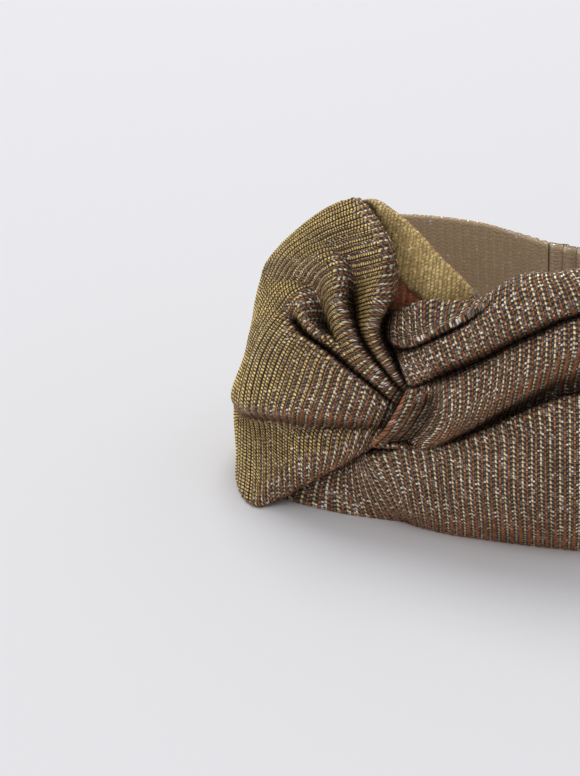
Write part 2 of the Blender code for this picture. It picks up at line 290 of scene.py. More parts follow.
def softStep(tree, value, low, high, start=1.0, end=0.0):
    node = tree.nodes.new("ShaderNodeMapRange")
    node.interpolation_type = "SMOOTHSTEP"
    tree.links.new(value, node.inputs["Value"])
    for key, number in (("From Min", low), ("From Max", high), ("To Min", start), ("To Max", end)):
        if isinstance(number, (int, float)):
            node.inputs[key].default_value = number
        else:
            tree.links.new(number, node.inputs[key])
    return node.outputs["Result"]


def mixColour(tree, factor, a, b):
    node = tree.nodes.new("ShaderNodeMix")
    node.data_type = "RGBA"
    for key, value in ((0, factor), (6, a), (7, b)):
        if isinstance(value, (int, float)):
            node.inputs[key].default_value = value
        elif isinstance(value, tuple):
            node.inputs[key].default_value = (*value, 1.0)
        else:
            tree.links.new(value, node.inputs[key])
    return node.outputs[2]


# 1 within half of the middle of each unit of value, fading out round it
def softBand(tree, value, half, soft=0.35):
    away = mathNode(tree, "ABSOLUTE", mathNode(tree, "SUBTRACT", mathNode(tree, "FRACT", value), 0.5))
    return softStep(tree, away, half * (1.0 - soft), half * (1.0 + soft))


def columnBand(tree, across, centre, half):
    away = mathNode(tree, "ABSOLUTE", mathNode(tree, "SUBTRACT", across, centre))
    return softStep(tree, away, half * 0.7, half * 1.3)


# A fixed random number for each whole-number cell (a, b)
def chanceOf(tree, a, b):
    cell = tree.nodes.new("ShaderNodeCombineXYZ")
    tree.links.new(a, cell.inputs[0])
    tree.links.new(b, cell.inputs[1])
    noise = tree.nodes.new("ShaderNodeTexWhiteNoise")
    noise.noise_dimensions = "2D"
    tree.links.new(cell.outputs[0], noise.inputs["Vector"])
    return noise.outputs["Value"]


def scaled(tree, colour, factor):
    tone = tree.nodes.new("ShaderNodeVectorMath")
    tone.operation = "SCALE"
    tree.links.new(colour, tone.inputs[0])
    tree.links.new(factor, tone.inputs["Scale"])
    return tone.outputs[0]


# Places and half widths across one rib, from 0 to 1, and how full each stitch is along it
stitchPlan = {
    "stitch": 1.65,  # mm from one bead to the next
    "wander": 1.2,  # mm that the rows stray
    "dotFill": 0.40,
    "faintDots": 0.22,  # every second dot of the lattice
    "silverLuck": (0.78, 0.98),
    "copperAt": 0.63,
    "chainHalf": 0.19,
    "chainFill": 0.40,
    "chainSlant": 5.0,
    "speckHalf": 0.10,
    "speckFill": 0.30,
    "beadAt": 0.14,
    "beadHalf": 0.11,
    "beadFill": 0.27,
    "beadSlant": 0.8,
    "barHalf": 0.28,
    "barFill": 0.29,
    "barsPerBead": 1.3,
    "barLuck": (0.78, 1.2),
    "brassHalf": 0.46,
    "sparkLuck": (0.965, 0.98),
    "glintLuck": (0.975, 0.99),
}


# Metallic rib knit. Plain, it is a grey lattice with gold beads and copper specks in ribs; where Gilt
# is 1 only gold bars show, and where Under is 1 the copper ribs close up into chains and the silver
# dots and beads dim as painted shade.
def makeKnitGroup():
    group = bpy.data.node_groups.new("metalKnit", "ShaderNodeTree")
    plan = stitchPlan
    for name, kind in (("Place", "Vector"), ("Gilt", "Float"), ("Under", "Float"), ("Repeat", "Float"),
                       ("Bead", "Color"), ("Gold", "Color"), ("Brass", "Color"), ("Copper", "Color"),
                       ("Silver", "Color"), ("Grey", "Color"), ("Ground", "Color")):
        group.interface.new_socket(name, in_out="INPUT", socket_type="NodeSocket" + kind)
    for name, kind in (("Color", "Color"), ("Height", "Float"), ("Thread", "Float"), ("Roughness", "Float"),
                       ("Spark", "Float")):
        group.interface.new_socket(name, in_out="OUTPUT", socket_type="NodeSocket" + kind)
    begin, end = group.nodes.new("NodeGroupInput"), group.nodes.new("NodeGroupOutput")
    gilt, under = begin.outputs["Gilt"], begin.outputs["Under"]

    def times(a, b):
        return mathNode(group, "MULTIPLY", a, b)

    def plus(a, b):
        return mathNode(group, "ADD", a, b)

    def whole(a):
        return mathNode(group, "FLOOR", a)

    split = group.nodes.new("ShaderNodeSeparateXYZ")
    group.links.new(begin.outputs["Place"], split.inputs[0])
    wander = group.nodes.new("ShaderNodeTexNoise")  # rows of a real knit are never quite straight
    wander.inputs["Scale"].default_value = 0.2
    wander.inputs["Detail"].default_value = 1.0
    group.links.new(begin.outputs["Place"], wander.inputs["Vector"])
    shift = times(plus(wander.outputs["Fac"], -0.5), plan["wander"])
    u = mathNode(group, "DIVIDE", split.outputs[0], begin.outputs["Repeat"])
    v = mathNode(group, "DIVIDE", plus(split.outputs[1], shift), plan["stitch"])
    fu = mathNode(group, "FRACT", u)

    # Grey lattice, a quarter of a rib wide
    gridU, gridV = times(u, 4.0), times(v, 2.0)
    cellU, cellV = whole(gridU), whole(gridV)
    luck = chanceOf(group, cellU, cellV)
    checker = mathNode(group, "FLOORED_MODULO", plus(cellU, cellV), 2.0)
    dot = times(softBand(group, gridU, plan["dotFill"]), softBand(group, gridV, plan["dotFill"]))
    dot = times(dot, softStep(group, checker, 0.0, 1.0, plan["faintDots"], 1.0))
    shiny = times(dot, softStep(group, luck, *plan["silverLuck"], 0.0, 1.0))
    colour = mixColour(group, dot, begin.outputs["Ground"], begin.outputs["Grey"])
    # painted shade: silver dots dim where the cloth faces down
    shiny = times(shiny, softStep(group, under, 0.0, 1.0, 1.0, 0.55))
    colour = mixColour(group, shiny, colour, begin.outputs["Silver"])

    # Copper ribs: separate specks, or a closed herringbone chain from under
    side = mathNode(group, "ABSOLUTE", plus(fu, -plan["copperAt"]))
    chainV = plus(gridV, times(side, plan["chainSlant"]))
    chain = times(columnBand(group, fu, plan["copperAt"], plan["chainHalf"]),
                  softBand(group, chainV, plan["chainFill"]))
    speck = times(columnBand(group, fu, plan["copperAt"], plan["speckHalf"]),
                  softBand(group, plus(v, 0.5), plan["speckFill"]))
    copper = mathNode(group, "MAXIMUM", times(chain, under), speck)
    colour = mixColour(group, copper, colour, begin.outputs["Copper"])

    # Gold beads, one row a rib
    bead = times(columnBand(group, fu, plan["beadAt"], plan["beadHalf"]),
                 softBand(group, plus(v, times(fu, plan["beadSlant"])), plan["beadFill"]))
    # painted shade: beads dim where the cloth faces down
    beadShare = times(bead, softStep(group, under, 0.0, 1.0, 1.0, 0.6))
    colour = mixColour(group, beadShare, colour, begin.outputs["Bead"])

    # Gilt side: gold bars in a brick lattice
    halfU = times(u, 2.0)
    brickV = plus(times(v, plan["barsPerBead"]), times(halfU, 0.5))
    bar = times(softBand(group, halfU, plan["barHalf"], 0.22), softBand(group, brickV, plan["barFill"], 0.22))
    barLuck = chanceOf(group, whole(halfU), whole(brickV))
    brass = times(softBand(group, halfU, plan["brassHalf"]), 0.7)
    giltColour = mixColour(group, brass, begin.outputs["Ground"], begin.outputs["Brass"])
    barColour = scaled(group, begin.outputs["Gold"], softStep(group, barLuck, 0.0, 1.0, *plan["barLuck"]))
    giltColour = mixColour(group, bar, giltColour, barColour)
    colour = mixColour(group, gilt, colour, giltColour)

    # Uneven tone, and painted glints on single threads
    patches = group.nodes.new("ShaderNodeTexNoise")
    patches.inputs["Scale"].default_value = 0.07
    patches.inputs["Detail"].default_value = 2.0
    group.links.new(begin.outputs["Place"], patches.inputs["Vector"])
    level = times(softStep(group, patches.outputs["Fac"], 0.3, 0.7, 0.85, 1.12),
                  softStep(group, luck, 0.0, 1.0, 0.72, 1.28))
    glint = softStep(group, chanceOf(group, plus(cellU, 0.5), cellV), *plan["glintLuck"], 0.0, 1.2)
    group.links.new(scaled(group, colour, plus(level, glint)), end.inputs["Color"])
    # Painted sparkles: a few bigger thread glints, shown on the inner walls
    sparkU, sparkV = times(u, 2.2), times(v, 1.1)
    spark = softStep(group, chanceOf(group, whole(sparkU), whole(sparkV)), *plan["sparkLuck"], 0.0, 1.0)
    spark = times(spark, times(softBand(group, sparkU, 0.3), softBand(group, sparkV, 0.3)))
    group.links.new(spark, end.inputs["Spark"])

    plainThread = mathNode(group, "MAXIMUM", mathNode(group, "MAXIMUM", bead, copper), times(dot, 0.6))
    thread = plus(times(bar, gilt), times(plainThread, mathNode(group, "SUBTRACT", 1.0, gilt)))
    group.links.new(thread, end.inputs["Thread"])
    group.links.new(thread, end.inputs["Height"])
    group.links.new(softStep(group, luck, 0.0, 1.0, 0.5, 0.3), end.inputs["Roughness"])
    return group


knitColours = {
    "bead": (1.0, 0.74, 0.37),
    "gold": (1.0, 0.69, 0.25),
    "brass": (0.045, 0.022, 0.004),
    "copper": (0.50, 0.17, 0.055),
    "silver": (0.80, 0.77, 0.78),
    "grey": (0.27, 0.205, 0.160),
    "ground": (0.012, 0.008, 0.006),
    "paintedBounce": (0.85, 0.27, 0.13),  # painted warm bounce light in the recess under the strip
    "paintedWallLight": (0.80, 0.63, 0.42),  # painted light: a brighter, softer tone for the shaded walls seen from inside
    # painted sparkles on the walls seen from inside
    "spark": (0.95, 0.95, 0.98),
    "paintedBounceShare": 0.7,
    "paintedWallLightShare": 0.8,
    "shadeRange": (0.02, 0.85),
    "deepest": 0.2,  # painted shade: tone left in the deepest folds
    "metallic": 0.55,
    "bump": 0.45,  # mm
    "bumpStrength": 0.7,
}
knitGroup = makeKnitGroup()


def makeKnit(name, **changes):
    colours = {**knitColours, **changes}
    material = bpy.data.materials.new(name)
    material.use_nodes = True
    tree = material.node_tree
    shader = tree.nodes["Principled BSDF"]
    place = tree.nodes.new("ShaderNodeUVMap")
    place.uv_map = "knit"
    knit = tree.nodes.new("ShaderNodeGroup")
    knit.node_tree = knitGroup
    tree.links.new(place.outputs[0], knit.inputs["Place"])
    fields = {}
    for field in ("gilt", "under", "paintedBounceMask", "inside", "shade"):
        fields[field] = tree.nodes.new("ShaderNodeAttribute")
        fields[field].attribute_name = field
    tree.links.new(fields["gilt"].outputs["Fac"], knit.inputs["Gilt"])
    tree.links.new(fields["under"].outputs["Fac"], knit.inputs["Under"])
    knit.inputs["Repeat"].default_value = clothMake["ribRepeat"]
    for key in ("bead", "gold", "brass", "copper", "silver", "grey", "ground"):
        knit.inputs[key.title()].default_value = (*colours[key], 1)
    # painted light on the inner walls: the knit mixed towards a brighter tone, with painted sparkles
    paintedWallLight = mixColour(tree, colours["paintedWallLightShare"], knit.outputs["Color"], colours["paintedWallLight"])
    paintedWallLight = mixColour(tree, knit.outputs["Spark"], paintedWallLight, colours["spark"])
    colour = mixColour(tree, fields["inside"].outputs["Fac"], knit.outputs["Color"], paintedWallLight)
    # painted warm bounce light: the knit tinted towards a bright red-brown in the recess under the strip
    paintedBounceThread = mixColour(tree, colours["paintedBounceShare"], knit.outputs["Color"], colours["paintedBounce"])
    colour = mixColour(tree, fields["paintedBounceMask"].outputs["Fac"], colour, paintedBounceThread)
    # painted shade: the colour darkens with the fold shade attribute
    paintedFoldShade = softStep(tree, fields["shade"].outputs["Fac"], *colours["shadeRange"], 1.0, colours["deepest"])
    colour = scaled(tree, colour, paintedFoldShade)
    tree.links.new(colour, shader.inputs["Base Color"])
    tree.links.new(knit.outputs["Roughness"], shader.inputs["Roughness"])
    metal = mathNode(tree, "MULTIPLY", knit.outputs["Thread"], colours["metallic"])
    tree.links.new(metal, shader.inputs["Metallic"])
    bump = tree.nodes.new("ShaderNodeBump")
    bump.inputs["Strength"].default_value = colours["bumpStrength"]
    bump.inputs["Distance"].default_value = colours["bump"] * mm
    tree.links.new(knit.outputs["Height"], bump.inputs["Height"])
    tree.links.new(bump.outputs[0], shader.inputs["Normal"])
    shader.inputs["Specular IOR Level"].default_value = 0.2
    return material


goldKnit = makeKnit("goldKnit")
bronzeKnit = makeKnit("bronzeKnit")
casingKnit = makeKnit("casingKnit")
# A brighter gold copy of the knit for the inner layer: painted light on the strip, which sits in shade
# between the lobes
paintedLightStripKnit = makeKnit("paintedLightStripKnit", gold=(1.0, 0.82, 0.42), brass=(0.85, 0.57, 0.22), ground=(0.34, 0.20, 0.06))
print("turban: materials made")

# Left band

leftBand = {
    "folds": (
        # name, share, then (along, height, out) at knot, waist, fan, open, spread, brow, side
        ("hem", 0.00, (-11.2, 30.2, 5.0), (-22.6, 21.8, 9.0), (-36.5, 11.3, 12.0), (-44.4, 4.4, 15.0),
         (-49.5, 1.0, 21.0), (-67.0, 1.0, 12.5), (-84.0, 1.0, 3.6)),
        ("lowBelly", 0.09, (-7.6, 34.0, 5.0), (-19.5, 28.5, 10.0), (-35.8, 20.5, 13.5), (-43.7, 13.8, 15.5),
         (-52.5, 9.3, 17.0), (-68.0, 9.2, 11.5), (-84.0, 9.0, 4.4)),
        ("underA", 0.17, (-5.2, 36.8, 4.9), (-18.9, 34.2, 8.0), (-39.2, 28.1, 9.5), (-48.5, 22.4, 11.0),
         (-58.4, 21.1, 12.0), (-71.0, 20.0, 10.2), (-84.0, 19.0, 7.0)),
        ("creaseA", 0.21, (-3.9, 38.8, 4.4), (-17.8, 37.0, 6.5), (-39.4, 32.3, 8.0), (-51.6, 29.9, 8.5),
         (-65.4, 26.6, 9.0), (-74.5, 25.3, 8.6), (-83.0, 24.0, 7.6)),
        ("pouch", 0.26, (-2.9, 40.6, 4.8), (-15.1, 42.5, 10.5), (-34.6, 40.6, 14.0), (-49.0, 37.2, 14.5),
         (-63.6, 33.9, 15.0), (-73.5, 32.5, 12.4), (-82.0, 31.0, 9.2)),
        ("midBelly", 0.36, (-1.6, 43.6, 4.9), (-11.9, 51.1, 12.5), (-30.3, 52.8, 15.0), (-46.4, 51.4, 14.0),
         (-66.9, 48.8, 11.0), (-76.5, 46.5, 8.3), (-84.0, 43.0, 4.8)),
        ("bellyTop", 0.42, (-1.1, 45.2, 4.9), (-11.3, 53.8, 12.5), (-29.2, 59.6, 14.5), (-43.5, 61.5, 13.5),
         (-62.4, 59.9, 11.5), (-74.5, 56.5, 8.6), (-85.2, 50.0, 4.9)),
        ("lipB", 0.46, (-0.9, 46.2, 4.8), (-11.5, 54.9, 11.5), (-28.5, 63.1, 13.0), (-41.8, 66.1, 12.0),
         (-55.7, 69.7, 12.0), (-71.0, 63.0, 9.3), (-86.0, 54.0, 5.0)),
        ("creaseB", 0.49, (-0.6, 47.2, 4.0), (-13.8, 53.2, 5.5), (-33.9, 60.4, 4.5), (-45.4, 64.3, 4.5),
         (-53.7, 73.3, 10.5), (-70.0, 67.8, 8.9), (-86.0, 59.0, 5.2)),
        ("shoulder", 0.53, (-0.2, 48.3, 4.3), (-11.3, 56.0, 9.0), (-28.6, 65.4, 9.5), (-40.3, 70.4, 10.0),
         (-50.0, 79.0, 10.0), (-67.5, 74.0, 8.8), (-86.0, 65.0, 5.8)),
        ("valleySide", 0.56, (0.0, 48.9, 4.3), (-10.1, 57.5, 10.0), (-26.6, 66.7, 10.0), (-39.3, 70.4, 6.0),
         (-47.0, 81.2, 8.0), (-65.0, 78.0, 8.0), (-85.5, 69.0, 6.0)),
        ("hollow", 0.60, (0.2, 49.5, 4.1), (-9.2, 58.7, 10.3), (-25.2, 67.2, 9.5), (-36.9, 69.6, 2.2),
         (-44.4, 82.7, 5.5), (-62.0, 81.5, 7.2), (-85.0, 72.5, 6.2)),
        ("wall1", 0.63, (0.5, 50.2, 4.1), (-8.4, 59.9, 10.4), (-23.1, 69.1, 10.5), (-33.8, 77.5, 7.0),
         (-39.4, 88.5, 8.0), (-57.5, 87.5, 8.0), (-83.5, 77.5, 6.5)),
        ("roll1", 0.67, (0.7, 50.8, 4.0), (-7.9, 60.8, 10.0), (-19.9, 71.3, 11.8), (-27.4, 83.5, 11.8),
         (-32.0, 93.9, 11.5), (-50.5, 93.2, 9.5), (-82.0, 81.2, 7.0)),
        ("right1", 0.70, (1.0, 51.4, 3.8), (-7.9, 60.9, 8.5), (-18.8, 71.7, 9.5), (-25.7, 83.6, 9.0),
         (-28.8, 95.0, 10.3), (-45.0, 97.0, 9.2), (-79.0, 85.8, 6.4)),
        ("creaseC", 0.74, (1.2, 52.0, 3.2), (-8.8, 60.0, 4.5), (-20.4, 70.2, 3.5), (-25.0, 80.0, 3.0),
         (-25.3, 94.1, 7.0), (-39.0, 99.8, 8.0), (-74.0, 90.7, 6.0)),
        ("flank2", 0.80, (1.7, 53.0, 3.3), (-6.8, 61.3, 7.0), (-16.7, 72.6, 7.5), (-18.8, 83.2, 7.0),
         (-18.2, 96.7, 8.5), (-31.0, 104.2, 8.0), (-64.5, 97.7, 5.2)),
        ("roll2", 0.88, (2.4, 54.2, 3.4), (-3.8, 63.4, 9.8), (-11.4, 75.2, 11.5), (-11.2, 87.5, 11.5),
         (-9.8, 100.4, 11.0), (-21.0, 108.2, 8.5), (-54.0, 105.0, 3.8)),
        ("edgeFlank", 0.96, (2.9, 55.3, 3.0), (-3.6, 63.6, 7.5), (-11.0, 75.3, 8.5), (-7.4, 88.0, 9.0),
         (-8.2, 100.8, 9.0), (-17.0, 109.4, 6.5), (-43.0, 111.0, 2.4)),
        ("topEdge", 1.00, (3.2, 56.2, 2.4), (-4.8, 62.6, 4.5), (-12.6, 74.2, 4.5), (-8.2, 87.2, 5.0),
         (-9.8, 99.7, 5.0), (-18.4, 108.6, 3.6), (-36.5, 114.0, 0.6)),
    ),
    # Straight lines across the band, each (hem, top edge), beyond the folds at both ends
    "outerTail": (
        ((-237.0, 1.0, 1.9), (-237.0, 80.5, 1.9)),
        ((-210.0, 1.0, 1.9), (-208.0, 85.5, 1.9)),
        ((-178.0, 1.0, 2.0), (-168.0, 87.0, 1.9)),
        ((-146.0, 1.0, 2.6), (-130.0, 87.0, 1.9)),
        ((-113.0, 1.0, 3.0), (-94.0, 86.5, 1.9)),
    ),
    "neck": (
        ((8.0, 39.0, 0.6), (9.5, 56.5, 0.2)),
        ((17.0, 37.0, -2.0), (18.5, 64.0, -2.2)),
        ((21.0, 29.0, -7.0), (24.5, 80.0, -7.5)),
        ((16.0, 18.0, -10.5), (18.0, 87.6, -10.5)),
    ),
    "innerTail": (
        ((6.0, 8.0, -10.0), (6.0, 97.2, -9.0)),
        ((-8.0, 2.0, -9.2), (-5.5, 105.8, -7.6)),
        ((-22.0, 1.0, -7.8), (-16.5, 111.6, -5.4)),
        ((-38.0, 1.0, -6.0), (-28.0, 114.6, -3.4)),
        ((-56.0, 1.0, -4.2), (-44.0, 108.5, -2.6)),
        ((-76.0, 1.0, -2.5), (-64.0, 96.0, -2.2)),
        ((-128.0, 1.0, -1.9), (-112.0, 87.5, -1.9)),
        ((-172.0, 1.0, -1.9), (-164.0, 89.0, -1.9)),
        ((-210.0, 1.0, -1.9), (-208.0, 87.5, -1.9)),
        ((-237.0, 1.0, -1.9), (-237.0, 81.5, -1.9)),
    ),
    # How far the top edge and the hem turn under at each station, from the back seam to the inner neck
    "tuck": (0.4, 0.4, 0.4, 0.5, 0.7, 1.0, 1.3, 1.4, 1.4, 1.4, 1.3, 0.8, 0.4, 0.4, 0.4, 0.4),
    "hemTuck": (0.4, 0.4, 0.4, 0.5, 0.7, 1.0, 1.4, 1.8, 2.0, 2.0, 1.8, 0.8, 0.4, 0.4, 0.4, 0.4),
    # The strip that shows between the two lobes: the inner layer steps back below this slanting line
    "strip": {"height": 83.6, "slope": -0.536, "step": 1.4, "from": (-40.0, -26.0), "to": (16.0, 26.0)},
    "frontCut": {"flat": (0.105, 0.280), "area": 0.0286},  # metres, across the band and along it
    "innerCut": {"flat": (0.092, 0.262), "area": 0.0238},
    "fine": 0.68,  # mm between columns where the camera looks
    "coarse": 1.15,
    "across": 1.4,
}


def eased(values, low, high):
    share = np.clip((values - low) / (high - low), 0.0, 1.0)
    return share * share * (3 - 2 * share)


threads = {
    "goldFaces": (-0.86, -0.2, 0.46),  # gold shows where the cloth faces this way: partly the knit's gold side, partly a painted reflection of light from the left
    "goldRange": (0.34, 0.72),
    "copperRange": (0.08, 0.60),  # copper chains show where it faces down, and the silver and beads dim there as painted shade
    "insideRange": (0.1, 0.45),
    "insideFrom": (-8.0, 8.0),  # only the far half of the ring shows its inner face
    "downShade": 0.22,  # painted shade: what faces down picks up less light from the threads
    "shadeReach": 16.0,  # mm; folds closer than this darken each other
    "shadeRays": 14,
}


def facingInwards(places, normals):
    inward = np.array(ringShape["centre"]) * mm - places[:, :2]
    inward /= np.linalg.norm(inward, axis=1, keepdims=True)
    return (normals[:, :2] * inward).sum(1)


def keepOutside(obj, *names):
    outside = 1.0 - eased(facingInwards(vertexArray(obj), vertexArray(obj, "normal")), -0.2, 0.1)
    for name in names:
        pointField(obj, name, knownField(obj, name) * outside)


def markThreads(obj, gold=1.0):
    normals, places = vertexArray(obj, "normal"), vertexArray(obj)
    # gilt: partly the knit's gold side, partly a painted reflection of light from the left on what faces it
    facing = np.array(threads["goldFaces"])
    gilt = gold * eased(normals @ (facing / np.linalg.norm(facing)), *threads["goldRange"])
    pointField(obj, "gilt", np.maximum(gilt, knownField(obj, "gilt")))
    # under: copper chains, and painted shade on silver and beads, where the cloth faces down
    pointField(obj, "under", eased(-normals[:, 2], *threads["copperRange"]))
    # inside: where the far half's inner walls take the painted wall light and sparkles
    inside = eased(facingInwards(places, normals), *threads["insideRange"])
    inside *= eased(places[:, 1] / mm, *threads["insideFrom"])
    pointField(obj, "inside", inside)


# Painted shade: deep folds lose light, so each vertex counts how much cloth stands close round it
def shadeFolds(pieces):
    points, faces, offset = [], [], 0
    for obj in pieces:
        points += [tuple(p) for p in vertexArray(obj)]
        faces += [tuple(i + offset for i in face.vertices) for face in obj.data.polygons]
        offset = len(points)
    tree = BVHTree.FromPolygons(points, faces)
    rays = threads["shadeRays"]
    turn = np.arange(rays) * math.pi * (3.0 - math.sqrt(5.0))
    rise = np.sqrt((np.arange(rays) + 0.5) / rays)
    flatness = np.sqrt(1.0 - rise**2)
    spread = np.stack([flatness * np.cos(turn), flatness * np.sin(turn), rise], 1)
    reach = threads["shadeReach"] * mm
    for obj in pieces:
        places, normals = vertexArray(obj), vertexArray(obj, "normal")
        sideways = np.cross(normals, (0.31, 0.17, 0.93))
        sideways /= np.linalg.norm(sideways, axis=1, keepdims=True) + 1e-9
        upward = np.cross(normals, sideways)
        shade = np.zeros(len(places))
        begin = places + normals * 0.5 * mm
        for ray in spread:
            way = sideways * ray[0] + upward * ray[1] + normals * ray[2]
            for i, (start, aim) in enumerate(zip(begin.tolist(), way.tolist())):
                distance = tree.ray_cast(start, aim, reach)[3]
                if distance is not None:
                    shade[i] += 1.0 - distance / reach
        # painted shade on what faces down
        down = threads["downShade"] * eased(-normals[:, 2], 0.0, 0.8)
        pointField(obj, "shade", shade / rays * 1.6 + down)


# Two more rows that fold the edge of each station back towards the head
def turnUnder(stations, amounts, atHem=False):
    made = []
    for station, amount in zip(stations, amounts):
        rows = station[::-1] if atHem else station
        ahead = rows[-1] - rows[-2]
        ahead = ahead / (np.linalg.norm(ahead) + 1e-9)
        first = rows[-1] + ahead * 0.45 * amount - np.array((0, 0, 0.55 * amount))
        second = rows[-1] + ahead * 0.05 * amount - np.array((0, 0, 1.35 * amount))
        both = np.stack([first, second])
        both[:, 1] = np.maximum(both[:, 1], 1.0)
        rows = np.concatenate([rows, both])
        made.append(rows[::-1] if atHem else rows)
    return made


def makeLeftBand():
    shares = [fold[1] for fold in leftBand["folds"]]
    outer = [plainStation(shares, *ends) for ends in leftBand["outerTail"]]
    outer += list(foldStations(leftBand["folds"], 2)[::-1])
    neck = [plainStation(shares, *ends) for ends in leftBand["neck"]]
    inner = [plainStation(shares, *ends) for ends in leftBand["innerTail"]]
    fine, coarse = leftBand["fine"], leftBand["coarse"]
    cells = [coarse] * 4 + [fine] * 7 + [coarse] * 4
    stations = turnUnder(outer + neck, leftBand["tuck"])
    stations = turnUnder(stations, leftBand["hemTuck"], atHem=True)
    front = knitSheet("left_band_front", clothGrid(stations, cells, leftBand["across"]), goldKnit, vStart=40)
    markThreads(front)

    grid = clothGrid(neck[-2:] + inner, [1.2] * (len(inner) + 1), 1.6)
    strip = leftBand["strip"]
    below = eased(strip["height"] + strip["slope"] * grid[..., 0] - grid[..., 1], 0.0, 1.5)
    below *= eased(grid[..., 0], *strip["from"]) * (1.0 - eased(grid[..., 0], *strip["to"]))
    grid[..., 2] -= strip["step"] * below
    onStrip = eased(grid[..., 0], *strip["from"]) * (1.0 - eased(grid[..., 0], *strip["to"])) * (1.0 - below)
    # below the strip's line the inner layer carries painted warm bounce light
    back = knitSheet("left_band_inner", grid, paintedLightStripKnit, vStart=20, fields={"paintedBounceMask": below, "gilt": onStrip})
    keepOutside(back, "paintedBounceMask", "gilt")
    markThreads(back)
    return front, back


leftFront, leftInner = makeLeftBand()
print("turban: left band", len(leftFront.data.vertices), len(leftInner.data.vertices))

# Right band

